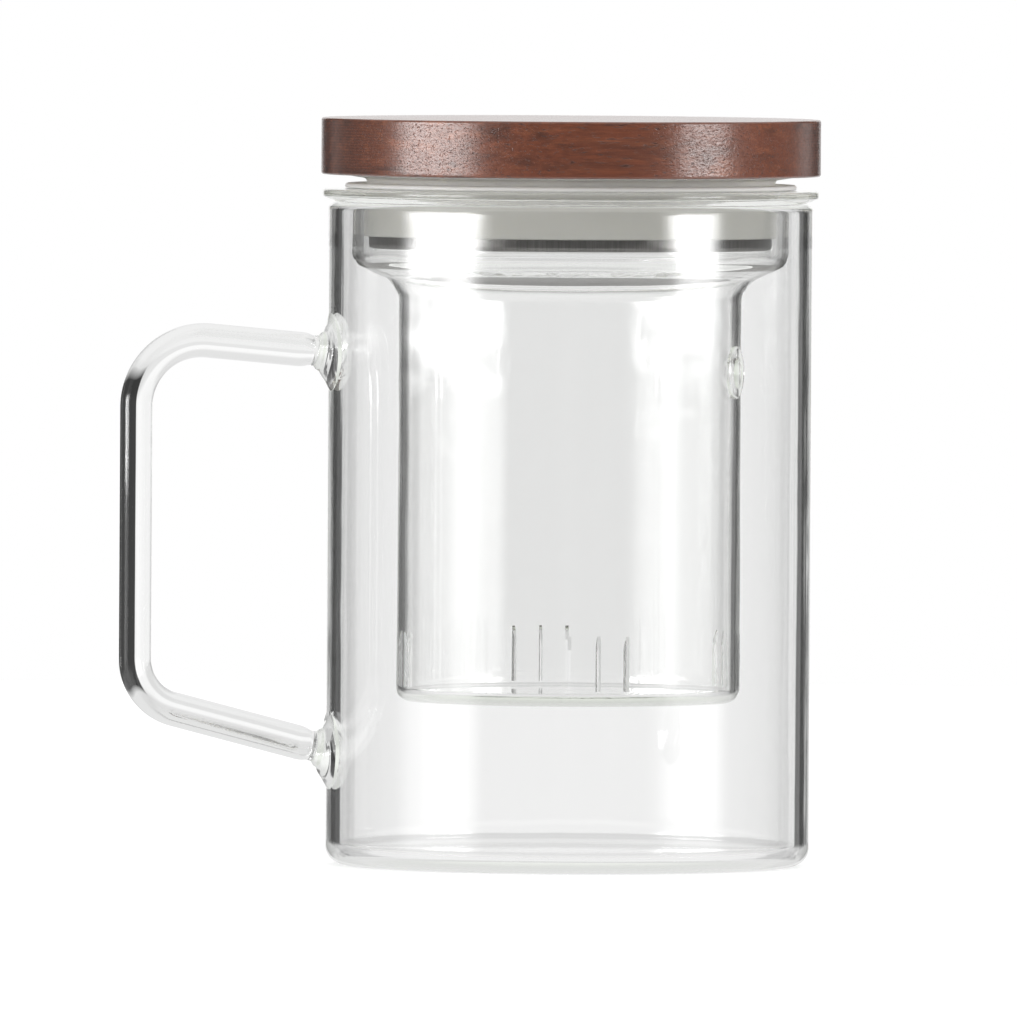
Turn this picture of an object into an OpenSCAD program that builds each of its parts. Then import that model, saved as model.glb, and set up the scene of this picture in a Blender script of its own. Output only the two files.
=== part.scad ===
// Glass tea mug with a hanging glass infuser and a wooden plug lid.
// The mug stands on z = 0 with its axis on Z, and its handle reaches out along -X.
// The infuser hangs by its rim on the mug, and the lid stands on the infuser's rim.

/* [Mug] */
// Outside diameter of the mug
mug_d = 84; // [76:1:100]
// Height of the mug's own rim
mug_h = 114.7; // [104:0.1:140]
// Thickness of the mug's wall
mug_wall = 2.5; // [2:0.1:3.5]
// Thickness of the mug's floor
mug_floor = 2.5; // [2:0.1:6]
// Radius of the heel, outside
heel_r = 3.5; // [2:0.5:6]
// Radius of the corner between wall and floor, inside
well_r = 1.5; // [1:0.5:8]

/* [Handle] */
// Thickness of the glass bar, from the finger side outwards
bar_t = 5.4; // [4:0.1:8]
// Width of the glass bar, from side to side
bar_w = 9; // [7:0.5:12]
// Lean of the oval bar about its own line, in degrees
bar_lean = 21; // [0:1:30]
// Distance from the mug's wall to the middle of the upright
handle_out = 34; // [28:1:42]
// Distance from the rim down to the upper arm, at the wall
upper_drop = 25.9; // [18:0.1:34]
// Height of the lower arm, at the wall
lower_lift = 19.9; // [12:0.1:28]
// Rise of the upper arm away from the mug, in degrees
upper_slope = 5.2; // [0:0.1:15]
// Rise of the lower arm away from the mug, in degrees
lower_slope = 14.7; // [0:0.1:22]
// Radius of the upper bend, along the middle of the bar
upper_bend = 11.5; // [8:0.5:15]
// Radius of the lower bend, along the middle of the bar
lower_bend = 9; // [8:0.5:15]
// Height of the melted foot of each arm on the wall
weld_h = 13.6; // [11:0.2:16]
// Width of the melted foot of each arm on the wall
weld_w = 14.8; // [13:0.2:18]
// Distance that each weld stands out from the wall, up to its neck
weld_out = 3.2; // [2.4:0.1:5]

/* [Infuser] */
// Height of the infuser, from its base to the top of its rim
infuser_h = 88.7; // [70:0.1:98]
// Thickness of the infuser's wall and base
infuser_wall = 1.9; // [1.4:0.1:2.6]
// Gap between the infuser's upper cup and the inside of the mug
cup_gap = 1.7; // [0.8:0.1:3]
// Step from the upper cup in to the tube
tube_step = 8; // [5:0.5:12]
// Depth from the rim's top to the corner under the upper cup
cup_depth = 12.9; // [12:0.1:20]
// Fall of the shoulder between cup and tube, in degrees
shoulder_fall = 24; // [5:1:40]
// Distance that the infuser's rim reaches past the mug's wall
rim_overhang = 1; // [0:0.1:2]
// Thickness of the infuser's rim
rim_t = 2.3; // [1.6:0.1:3]
// Number of groups of slits round the foot of the tube
slit_groups = 4; // [2:1:5]
// Number of slits in a group
slits_in_group = 3; // [1:1:4]
// Turn from one slit of a group to the next, in degrees
slit_step = 9.7; // [8:0.1:13]
// Width of a slit
slit_w = 0.6; // [0.4:0.1:1]
// Height of a slit on the outside of the tube
slit_h = 9.6; // [5:0.1:16]
// Radius of the saw that cut the slits
saw_r = 6; // [5:0.5:12]
// Height of the slits above the infuser's base
slit_lift = 2.6; // [1:0.1:6]
// Direction of the middle of the first group, in degrees from +X
slit_turn = 90; // [-180:1:180]
// Diameter of the pour hole in the side of the tube
vent_d = 5.2; // [3:0.1:8]
// Width of the melted bead round the pour hole
vent_bead = 2; // [1.4:0.1:3]
// Height that the bead stands out from the tube
vent_bead_h = 0.55; // [0.3:0.05:1]
// Distance from the rim's top down to the pour hole
vent_drop = 31.4; // [26:0.1:45]
// Direction of the pour hole, in degrees from +X
vent_turn = -28; // [-180:1:180]

/* [Lid] */
// Thickness of the wooden disc
disc_t = 9.8; // [6:0.1:16]
// Distance that the disc reaches past the infuser's rim
disc_overhang = 0.25; // [0:0.05:3]
// Depth of the steel dish below the disc
dish_depth = 12.7; // [11.2:0.1:13.2]
// Thickness of the steel sheet
dish_sheet = 0.5; // [0.4:0.1:0.8]
// Thickness of the seal's flange on the infuser's rim
flange_t = 0.8; // [0.6:0.1:2]
// Distance that the flange reaches out over the rim
flange_reach = 3.2; // [2:0.1:5]
// Height of the neck between flange and disc
neck_h = 1.5; // [0.5:0.1:3]
// Thickness of the seal round the neck
neck_t = 0.5; // [0.4:0.1:0.8]
// Length of the seal's skirt inside the infuser
skirt_h = 8.3; // [4:0.1:9]
// Thickness of the seal's skirt
skirt_t = 0.9; // [0.7:0.1:1.6]

/* [Clearances] */
// Gap left under a rim or flange where it rests
seat_gap = 0.1; // [0.05:0.05:0.3]
// Gap between the seal's skirt and the infuser
seal_gap = 0.15; // [0.1:0.05:0.5]

/* [Hidden] */
$fn = 96;

// Greatest turn between two points of an arc, in degrees
arc_step = 10;
// Share of a wall that each of its two edge roundings takes
edge_round = 0.48;
// Length by which a cut runs past what it cuts
past = 1;
glass = [0.86, 0.93, 0.91, 0.4];

mug_r = mug_d / 2;
well_wall_r = mug_r - mug_wall;

rim_under_z = mug_h + seat_gap;
rim_top_z = rim_under_z + rim_t;
rim_r = mug_r + rim_overhang;
cup_r = well_wall_r - cup_gap;
cup_in_r = cup_r - infuser_wall;
tube_r = cup_r - tube_step;
tube_in_r = tube_r - infuser_wall;
infuser_z = rim_top_z - infuser_h;
infuser_floor_z = infuser_z + infuser_wall;
cup_corner_z = rim_top_z - cup_depth;
shoulder_rise = infuser_wall * (1 / cos(shoulder_fall) - tan(shoulder_fall));
cup_in_z = cup_corner_z + shoulder_rise;

flange_z = rim_top_z + seat_gap;
neck_z = flange_z + flange_t;
disc_z = neck_z + neck_h;
disc_r = rim_r + disc_overhang;
dish_z = disc_z - dish_depth;
skirt_r = cup_in_r - seal_gap;
dish_r = skirt_r - skirt_t;
spigot_r = dish_r - dish_sheet;
dish_corner = 0.8;

upright_x = -mug_r - handle_out;
arm_from = weld_out * 2;
upper_z = mug_h - upper_drop;
upper_turn = 90 + upper_slope;
lower_turn = 90 - lower_slope;
upper_corner = [upright_x, upper_z + handle_out * tan(upper_slope)];
lower_corner = [upright_x, lower_lift + handle_out * tan(lower_slope)];

// Each corner of an outline is [r, z] or [r, z, rounding radius].
function unit(v) = v / norm(v);
function place(corner) = [corner[0], corner[1]];
function bend_arc(before, corner, after, r) =
    let (
        u = unit(before - corner),
        v = unit(after - corner),
        half = acos(u * v) / 2,
        centre = corner + unit(u + v) * r / sin(half),
        first = corner + u * r / tan(half) - centre,
        turn = (cross(v, u) > 0 ? 1 : -1) * (180 - 2 * half),
        start = atan2(first[1], first[0]),
        steps = max(2, ceil(abs(turn) / arc_step))
    )
    [for (i = [0:steps]) centre + r * [cos(start + turn * i / steps), sin(start + turn * i / steps)]];
function outline(corners) =
    let (n = len(corners))
    [for (i = [0:n - 1])
        each len(corners[i]) < 3
            ? [corners[i]]
            : bend_arc(
                place(corners[(i + n - 1) % n]),
                place(corners[i]),
                place(corners[(i + 1) % n]),
                corners[i][2]
            )];

module turned(corners) {
    rotate_extrude() polygon(outline(corners));
}

// The mug's wall and floor are one drawn tube, closed at the foot and melted round at the rim.
module mug_body() {
    lip = mug_wall * edge_round;
    color(glass) turned([
        [0, 0],
        [mug_r, 0, heel_r],
        [mug_r, mug_h, lip],
        [well_wall_r, mug_h, lip],
        [well_wall_r, mug_floor, well_r],
        [0, mug_floor]
    ]);
}

// The bar is an oval that leans about its own line. Its X side faces away from the fingers.
bar_points = 24;
function oval(t, w, lean) =
    [for (i = [0:bar_points - 1])
        let (a = 360 * i / bar_points, x = t / 2 * cos(a), y = w / 2 * sin(a))
        [x * cos(lean) - y * sin(lean), x * sin(lean) + y * cos(lean)]];

// A straight run of the bar starts at [x, z] and heads along an angle in the XZ plane.
// It is a hair thicker than the bends and laps over their ends, so that the bar is one solid.
module run(start, heading, length) {
    lap = 0.1;
    skin = 0.02;
    translate([start[0], 0, start[1]])
        rotate([0, 90 - heading, 0])
            translate([0, 0, -lap])
                linear_extrude(length + 2 * lap)
                    polygon(oval(bar_t + skin, bar_w + skin, -bar_lean));
}

// A bend starts where a run ends, and turns left about a line along Y.
module bend(corner, heading, turn, r) {
    side = heading - 90;
    start = corner - r * tan(turn / 2) * [cos(heading), sin(heading)];
    centre = start - r * [cos(side), sin(side)];
    translate([centre[0], 0, centre[1]])
        rotate([90, -side, 0])
            rotate_extrude(angle = turn)
                translate([r, 0])
                    polygon(oval(bar_t, bar_w, bar_lean));
}

module weld_slice(wall_z, slope, out, t, w, lean, thick) {
    translate([-mug_r - out, 0, wall_z + out * tan(slope)])
        rotate([0, slope - 90, 0])
            linear_extrude(thick)
                polygon(oval(t, w, lean));
}

// Each arm narrows to a neck, and its melted end flares on to the wall as a wide oval foot.
// A thin collar of melt runs a little way on to the bar.
module weld(wall_z, slope, lean) {
    slice = 0.1;
    sunk = 1.5;
    collar = 0.06;
    collar_len = 0.5;
    neck_share = 0.87;
    mid_out = weld_out * 0.35;
    mid_t = (weld_h + bar_t) / 2 - 1;
    mid_w = (weld_w + bar_w) / 2 - 0.8;
    hull() {
        weld_slice(wall_z, slope, arm_from, bar_t + collar, bar_w + collar, lean, collar_len);
        weld_slice(wall_z, slope, weld_out, bar_t * neck_share, bar_w * neck_share, lean, slice);
    }
    hull() {
        weld_slice(wall_z, slope, weld_out, bar_t * neck_share, bar_w * neck_share, lean, slice);
        weld_slice(wall_z, 0, mid_out, mid_t, mid_w, 0, slice);
    }
    hull() {
        weld_slice(wall_z, 0, mid_out, mid_t, mid_w, 0, slice);
        weld_slice(wall_z, 0, 0, weld_h, weld_w, 0, slice);
    }
    weld_slice(wall_z, 0, -sunk, weld_h, weld_w, 0, sunk + slice);
}

module handle() {
    upper_cut = upper_bend * tan(upper_turn / 2);
    lower_cut = lower_bend * tan(lower_turn / 2);
    upper_start = [-mug_r - arm_from, upper_z + arm_from * tan(upper_slope)];
    upper_len = (handle_out - arm_from) / cos(upper_slope) - upper_cut;
    lower_len = (handle_out - arm_from) / cos(lower_slope) - lower_cut;
    upright_len = upper_corner[1] - lower_corner[1] - upper_cut - lower_cut;
    color(glass) difference() {
        union() {
            run(upper_start, 180 - upper_slope, upper_len);
            bend(upper_corner, 180 - upper_slope, upper_turn, upper_bend);
            run(upper_corner - [0, upper_cut], 270, upright_len);
            bend(lower_corner, 270, lower_turn, lower_bend);
            run(lower_corner + lower_cut * [cos(lower_slope), -sin(lower_slope)], 360 - lower_slope, lower_len);
            weld(upper_z, upper_slope, -bar_lean);
            weld(lower_lift, lower_slope, bar_lean);
        }
        cylinder(h = mug_h, r = mug_r);
    }
}

// A slit ends at its top in the round of the saw, which went less deep there than the wall is thick.
module slit() {
    saw_depth = infuser_wall + 0.5;
    slit_in = tube_r - saw_depth;
    slit_out = slit_in + saw_r + past;
    slit_z = infuser_z + slit_lift;
    saw_z = slit_z + slit_h - sqrt(pow(saw_r, 2) - pow(saw_r - saw_depth, 2));
    rotate([90, 0, 0])
        linear_extrude(slit_w, center = true)
            polygon(outline([
                [slit_in, slit_z],
                [slit_out, slit_z],
                [slit_out, saw_z + saw_r],
                [slit_in, saw_z + saw_r, saw_r]
            ]));
}

// The slits stand in even groups round the foot of the tube.
module slits() {
    for (group = [0:slit_groups - 1], i = [0:slits_in_group - 1])
        rotate([0, 0, slit_turn + 360 * group / slit_groups + slit_step * (i - (slits_in_group - 1) / 2)])
            slit();
}

module at_vent() {
    translate([0, 0, rim_top_z - vent_drop])
        rotate([0, 90, vent_turn])
            children();
}

module vent_ring() {
    bead_land = 0.1;
    bead_round = vent_bead_h * 0.8;
    bore_r = vent_d / 2 - bead_land;
    bead_r = vent_d / 2 + vent_bead;
    at_vent() turned([
        [bore_r, tube_r - infuser_wall / 2],
        [bead_r, tube_r - infuser_wall / 2],
        [bead_r, tube_r + vent_bead_h, bead_round],
        [bore_r, tube_r + vent_bead_h, bead_round]
    ]);
}

// The infuser is one glass piece: a wide cup for the lid, a sloped shoulder and a slitted tube.
module infuser() {
    tube_corner = 2.4;
    cup_round = 3.1;
    shoulder_round = 4.5;
    under_round = 1.2;
    tip_round = 0.5;
    tip_rise = 0.9;
    top_fall = 0.15;
    top_land = 1.4;
    shoulder_drop = tube_step * tan(shoulder_fall);
    color(glass) difference() {
        union() {
            turned([
                [0, infuser_z],
                [tube_r, infuser_z, tube_corner],
                [tube_r, cup_corner_z - shoulder_drop, shoulder_round],
                [cup_r, cup_corner_z, cup_round],
                [cup_r, rim_under_z, under_round],
                [mug_r - mug_wall / 2, rim_under_z],
                [rim_r, rim_under_z + tip_rise, tip_round],
                [rim_r, rim_top_z - top_fall, tip_round],
                [cup_r + top_land, rim_top_z],
                [cup_in_r, rim_top_z, infuser_wall * edge_round],
                [cup_in_r, cup_in_z, cup_round - infuser_wall],
                [tube_in_r, cup_in_z - shoulder_drop, shoulder_round + infuser_wall],
                [tube_in_r, infuser_floor_z, tube_corner - infuser_wall],
                [0, infuser_floor_z]
            ]);
            vent_ring();
        }
        slits();
        at_vent() cylinder(h = tube_r * 2, d = vent_d);
    }
}

// The disc is turned in one piece with a spigot that fills the steel dish.
module lid_disc() {
    disc_edge = 0.4;
    color("saddlebrown") turned([
        [0, dish_z + dish_sheet],
        [spigot_r, dish_z + dish_sheet, dish_corner - dish_sheet],
        [spigot_r, disc_z],
        [disc_r, disc_z, disc_edge],
        [disc_r, disc_z + disc_t, disc_edge],
        [0, disc_z + disc_t]
    ]);
}

// The seal is stretched round the dish: a lip under the disc, a neck, a flange that rests, and a skirt that plugs.
module lid_seal() {
    skirt_edge = 0.3;
    flange_edge = flange_t * 0.45;
    flange_r = cup_in_r + flange_reach;
    neck_r = dish_r + neck_t;
    lip_r = flange_r - 0.5;
    lip_root = 0.7;
    lip_tip = 0.2;
    color([0.9, 0.92, 0.88]) turned([
        [dish_r, flange_z - skirt_h],
        [skirt_r, flange_z - skirt_h, skirt_edge],
        [skirt_r, flange_z],
        [flange_r, flange_z, flange_edge / 2],
        [flange_r, neck_z, flange_edge],
        [neck_r, neck_z],
        [neck_r, disc_z - lip_root, lip_root],
        [lip_r, disc_z - lip_tip],
        [lip_r, disc_z],
        [dish_r, disc_z]
    ]);
}

// The dish is pressed from thin steel sheet and closes the lid from below.
module lid_dish() {
    color("silver") turned([
        [0, dish_z],
        [dish_r, dish_z, dish_corner],
        [dish_r, disc_z],
        [spigot_r, disc_z],
        [spigot_r, dish_z + dish_sheet, dish_corner - dish_sheet],
        [0, dish_z + dish_sheet]
    ]);
}

mug_body();
handle();
infuser();
lid_disc();
lid_seal();
lid_dish();
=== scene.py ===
import math

import bmesh
import bpy
from bpy.props import FloatProperty, FloatVectorProperty, IntProperty, PointerProperty
from bpy.types import NodeSocket, Operator, Panel, PropertyGroup
from mathutils import Matrix, Vector


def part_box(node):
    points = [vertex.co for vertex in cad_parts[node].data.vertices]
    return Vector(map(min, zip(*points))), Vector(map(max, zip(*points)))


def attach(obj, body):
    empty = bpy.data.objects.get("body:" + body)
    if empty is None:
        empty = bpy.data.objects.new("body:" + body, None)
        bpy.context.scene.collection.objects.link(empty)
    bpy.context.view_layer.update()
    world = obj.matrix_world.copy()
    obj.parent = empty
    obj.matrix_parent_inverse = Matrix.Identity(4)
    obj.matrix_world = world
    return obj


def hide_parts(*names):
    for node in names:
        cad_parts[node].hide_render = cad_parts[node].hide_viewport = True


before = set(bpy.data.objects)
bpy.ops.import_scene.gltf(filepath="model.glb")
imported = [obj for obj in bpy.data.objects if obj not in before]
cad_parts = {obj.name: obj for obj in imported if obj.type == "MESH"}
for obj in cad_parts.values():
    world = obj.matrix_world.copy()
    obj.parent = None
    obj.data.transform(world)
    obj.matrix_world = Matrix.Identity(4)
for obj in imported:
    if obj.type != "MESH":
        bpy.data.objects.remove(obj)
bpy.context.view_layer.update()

bl_info = {
    "name": "Infuser Mug",
    "version": (1, 0, 0),
    "blender": (4, 5, 0),
    "location": "3D View > Sidebar > Infuser Mug",
    "description": "Makes the glass, wood, steel and silicone pieces of a lidded tea mug with infuser",
    "category": "Add Mesh",
}

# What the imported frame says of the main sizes, in metres.
MUG_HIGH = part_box("mug_body")[1]
HANDLE_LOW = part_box("handle")[0]
INFUSER_LOW, INFUSER_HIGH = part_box("infuser")
DISC_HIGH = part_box("lid_disc")[1]
SEAL_LOW, SEAL_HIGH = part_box("lid_seal")
DISH_LOW, DISH_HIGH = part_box("lid_dish")

MUG_R, MUG_TOP = MUG_HIGH.x, MUG_HIGH.z
RIM_R, RIM_TOP = INFUSER_HIGH.x, INFUSER_HIGH.z
UP = Vector((0, 0, 1))
TOUCH = 1e-7


def millimetres(label, size, description):
    return FloatProperty(
        name=label, description=description, default=size / 1000, precision=5, unit="LENGTH"
    )


def degrees(label, turn, description):
    return FloatProperty(name=label, description=description, default=math.radians(turn), unit="ROTATION")


def tint(label, colour, description):
    return FloatVectorProperty(
        name=label, description=description, default=colour, size=3, min=0, max=1, subtype="COLOR"
    )


def level(label, value, description):
    return FloatProperty(name=label, description=description, default=value, min=0)


def count(label, value, description, least=3):
    return IntProperty(name=label, description=description, default=value, min=least)


class MugSizes(PropertyGroup):
    wall: millimetres("Wall", 2.5, "Thickness of the mug's wall")
    floor: millimetres("Floor", 2.5, "Thickness of the mug's floor")
    heel: millimetres("Heel", 3.5, "Radius of the heel, outside")
    well: millimetres("Well", 1.5, "Radius of the corner between wall and floor, inside")
    lip: millimetres("Lip", 1.2, "Radius of the fire-rounded rim")
    steps: count("Steps", 288, "Number of facets round the mug")


class HandleSizes(PropertyGroup):
    thick: millimetres("Thickness", 5.4, "Thickness of the oval bar, from the fingers outwards")
    wide: millimetres("Width", 9, "Width of the oval bar, from side to side")
    lean: degrees("Lean", 21, "Lean of the oval about the bar's own line")
    upper_drop: millimetres("Upper drop", 25.9, "Distance from the rim down to the upper arm at the wall")
    lower_lift: millimetres("Lower lift", 19.9, "Height of the lower arm at the wall")
    upper_slope: degrees("Upper slope", 5.2, "Rise of the upper arm away from the mug")
    lower_slope: degrees("Lower slope", 14.7, "Rise of the lower arm away from the mug")
    upper_bend: millimetres("Upper bend", 11.5, "Radius of the upper bend, along the bar's middle")
    lower_bend: millimetres("Lower bend", 9, "Radius of the lower bend, along the bar's middle")
    weld_high: millimetres("Weld height", 13.6, "Height of the melted foot of each arm")
    weld_wide: millimetres("Weld width", 14.8, "Width of the melted foot of each arm")
    weld_out: millimetres("Weld reach", 3.2, "Distance from the wall to the neck of each weld")
    ripple: millimetres("Ripple", 0.22, "Height of the folds that the melt leaves in the weld")
    points: count("Points", 40, "Number of points round the bar")


class InfuserSizes(PropertyGroup):
    wall: millimetres("Wall", 1.9, "Thickness of the infuser's wall and base")
    cup_gap: millimetres("Cup gap", 1.7, "Gap between the infuser's cup and the inside of the mug")
    tube_step: millimetres("Tube step", 8, "Step from the cup in to the tube")
    cup_depth: millimetres("Cup depth", 12.9, "Depth from the rim to the corner under the cup")
    shoulder_fall: degrees("Shoulder fall", 24, "Fall of the shoulder between cup and tube")
    rim_thick: millimetres("Rim", 2.3, "Thickness of the rim that rests on the mug")
    slit_groups: count("Slit groups", 4, "Number of groups of slits round the tube", least=1)
    slits: count("Slits", 3, "Number of slits in a group", least=1)
    slit_step: degrees("Slit step", 9.7, "Turn from one slit of a group to the next")
    slit_wide: millimetres("Slit width", 0.6, "Width of a slit")
    slit_high: millimetres("Slit height", 9.6, "Height of a slit, on the outside of the tube")
    slit_lift: millimetres("Slit lift", 2.6, "Height of the slits above the base")
    slit_turn: degrees("Slit turn", 90, "Direction of the middle of the first group, from +X")
    saw: millimetres("Saw", 6, "Radius of the saw that cuts the slits")
    steps: count("Steps", 304, "Number of facets round the infuser")
    vent_wide: millimetres("Pour hole", 5.2, "Diameter of the pour hole")
    vent_bead: millimetres("Bead width", 2, "Width of the melted bead round the pour hole")
    vent_proud: millimetres("Bead height", 0.55, "Height of the bead above the tube")
    vent_drop: millimetres("Pour hole drop", 31.4, "Distance from the rim down to the pour hole")
    vent_turn: degrees("Pour hole turn", -28, "Direction of the pour hole, from +X")


class LidSizes(PropertyGroup):
    disc_edge: millimetres("Disc edge", 0.4, "Radius of the sanded edges of the wooden disc")
    sheet: millimetres("Sheet", 0.5, "Thickness of the steel sheet")
    dish_corner: millimetres("Dish corner", 0.8, "Radius of the dish's corner, outside")
    flange: millimetres("Flange", 0.8, "Thickness of the seal's flange")
    seat_gap: millimetres("Seat gap", 0.1, "Gap between the seal's flange and the infuser's rim")
    skirt: millimetres("Skirt", 0.9, "Thickness of the seal's skirt")
    neck: millimetres("Neck", 0.5, "Thickness of the seal round the neck")
    lip_root: millimetres("Lip root", 0.7, "Thickness of the seal's upper lip at the neck")
    lip_tip: millimetres("Lip tip", 0.2, "Thickness of the seal's upper lip at its edge")
    lip_in: millimetres("Lip setback", 0.5, "Distance from the flange's edge in to the upper lip's edge")
    steps: count("Steps", 256, "Number of facets round the lid")


class Finishes(PropertyGroup):
    glass_clear: tint("Glass", (0.985, 0.99, 0.985), "Colour of the glass")
    glass_depth: tint("Glass depth", (0.60, 0.70, 0.50), "Colour that thick glass turns to")
    mug_density: level("Mug density", 3, "Strength of the colour in the mug's glass, per metre")
    infuser_density: level("Infuser density", 7, "Strength of the colour in the infuser's glass, per metre")
    walnut_light: tint("Light walnut", (0.25, 0.072, 0.026), "Colour of the pale grain")
    walnut_mid: tint("Walnut", (0.148, 0.036, 0.012), "Colour of the main grain")
    walnut_dark: tint("Dark walnut", (0.040, 0.011, 0.005), "Colour of the dark streaks and pores")
    silicone: tint("Silicone", (0.95, 0.93, 0.88), "Colour of the seal")
    steel: tint("Steel", (0.32, 0.31, 0.30), "Colour of the steel dish")


class StudioSizes(PropertyGroup):
    azimuth: degrees("Azimuth", -10, "Direction of the camera, from straight in front")
    pitch: degrees("Pitch", 1.62, "Angle by which the camera looks down")
    roll: degrees("Roll", 0.35, "Turn of the camera about its own line of sight")
    distance: millimetres("Distance", 4500, "Distance to the camera")
    aim_right: millimetres("Aim right", -10.48, "Distance of the aim to the right of the mug's axis")
    aim_up: millimetres("Aim height", 61.1, "Height of the aim")
    lens: level("Lens", 919.7, "Focal length in millimetres")
    background: tint("Background", (1, 1, 1), "Colour of the floor and the backdrop")
    open_light: level("Open light", 0.99, "Level of the studio's light, seen through the glass")
    card_light: level("Card light", 0.05, "Level of the dark card that is seen through solid bars of glass")
    soft_light: level("Soft light", 0.86, "Level of the light that falls on matt surfaces")
    softbox: level("Softbox", 7, "How much brighter the softboxes are above the mug's foot")


def sizes(context):
    return context.scene.infuser_mug


class InfuserMug(PropertyGroup):
    mug: PointerProperty(type=MugSizes)
    handle: PointerProperty(type=HandleSizes)
    infuser: PointerProperty(type=InfuserSizes)
    lid: PointerProperty(type=LidSizes)
    finish: PointerProperty(type=Finishes)
    studio: PointerProperty(type=StudioSizes)


# ---- Nodes ----


def add(tree, kind, inputs=None, **settings):
    """Adds a node to a tree, and fills its inputs with values or with other nodes' outputs."""
    node = tree.nodes.new(kind)
    for name, value in settings.items():
        setattr(node, name, value)
    for name, value in (inputs or {}).items():
        if isinstance(value, NodeSocket):
            tree.links.new(value, node.inputs[name])
        else:
            node.inputs[name].default_value = value
    return node


def calc(tree, operation, first, second=0.0):
    return add(tree, "ShaderNodeMath", {0: first, 1: second}, operation=operation).outputs[0]


def times(tree, *factors):
    """Multiplies two or more values."""
    product = factors[0]
    for factor in factors[1:]:
        product = calc(tree, "MULTIPLY", product, factor)
    return product


def ranged(tree, value, low, high, to_low=0.0, to_high=1.0, smooth=False):
    """Maps low..high to another range, and holds the ends."""
    shape = "SMOOTHSTEP" if smooth else "LINEAR"
    inputs = {"Value": value, "From Min": low, "From Max": high, "To Min": to_low, "To Max": to_high}
    return add(tree, "ShaderNodeMapRange", inputs, interpolation_type=shape, clamp=True).outputs["Result"]


def ranged_angle(tree, angle, low, high, to_low=0.0, to_high=1.0, smooth=False):
    """The same for an angle, between limits in degrees."""
    return ranged(tree, angle, math.radians(low), math.radians(high), to_low, to_high, smooth)


def blend(tree, share, first, second):
    return add(tree, "ShaderNodeMix", {0: share, 2: first, 3: second}).outputs[0]


def blend_colour(tree, share, first, second, kind="MIX"):
    node = add(tree, "ShaderNodeMix", {0: share}, data_type="RGBA", blend_type=kind)
    for socket, colour in ((node.inputs[6], first), (node.inputs[7], second)):
        if isinstance(colour, NodeSocket):
            tree.links.new(colour, socket)
        else:
            socket.default_value = (*colour, 1)
    return node.outputs[2]


def shaded(tree, colour, shade):
    """Multiplies a colour by one shade of grey."""
    grey = add(tree, "ShaderNodeCombineColor", {0: shade, 1: shade, 2: shade}).outputs[0]
    return blend_colour(tree, 1.0, colour, grey, "MULTIPLY")


def axes_of(tree, vector):
    return add(tree, "ShaderNodeSeparateXYZ", {0: vector}).outputs


def noise(tree, place, stretch, detail=3.0, rough=0.5, warp=0.0):
    """A noise of one cycle in 1 / stretch metres along each axis."""
    scaled = add(tree, "ShaderNodeMapping", {"Vector": place, "Scale": stretch}).outputs[0]
    inputs = {"Vector": scaled, "Scale": 1, "Detail": detail, "Roughness": rough, "Distortion": warp}
    return add(tree, "ShaderNodeTexNoise", inputs).outputs[0]


def bumped(tree, height, depth, normal=None):
    inputs = {"Height": height, "Distance": depth, "Strength": 1}
    if normal:
        inputs["Normal"] = normal
    return add(tree, "ShaderNodeBump", inputs).outputs[0]


def facing(tree):
    """How far a surface looks along its object's X, Y and Z."""
    return axes_of(tree, tree.nodes.new("ShaderNodeTexCoord").outputs["Normal"])


def new_material(name):
    """An empty material, its tree, its output and its object coordinates."""
    material = bpy.data.materials.new(name)
    material.use_nodes = True
    tree = material.node_tree
    tree.nodes.clear()
    out = tree.nodes.new("ShaderNodeOutputMaterial")
    place = tree.nodes.new("ShaderNodeTexCoord").outputs["Object"]
    return material, tree, out, place


# ---- Materials ----

# Glass lets a ray go straight on, once it has been mirrored inside or has met glass more often than this.
MOST_MIRRORED = 3
MOST_MET = 10


def saw_marks(tree, place, top):
    """1 where a surface below a height looks round the axis, as only the sides of the saw cuts do."""
    here, look = axes_of(tree, place), facing(tree)
    level_place = add(tree, "ShaderNodeCombineXYZ", {0: here["X"], 1: here["Y"]}).outputs[0]
    radius = add(tree, "ShaderNodeVectorMath", {0: level_place}, operation="LENGTH").outputs["Value"]
    turned_by = calc(tree, "SUBTRACT", times(tree, look["Y"], here["X"]), times(tree, look["X"], here["Y"]))
    round_axis = calc(tree, "DIVIDE", calc(tree, "ABSOLUTE", turned_by), radius)
    return times(tree, ranged(tree, round_axis, 0.5, 0.7), calc(tree, "LESS_THAN", here["Z"], top))


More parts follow.
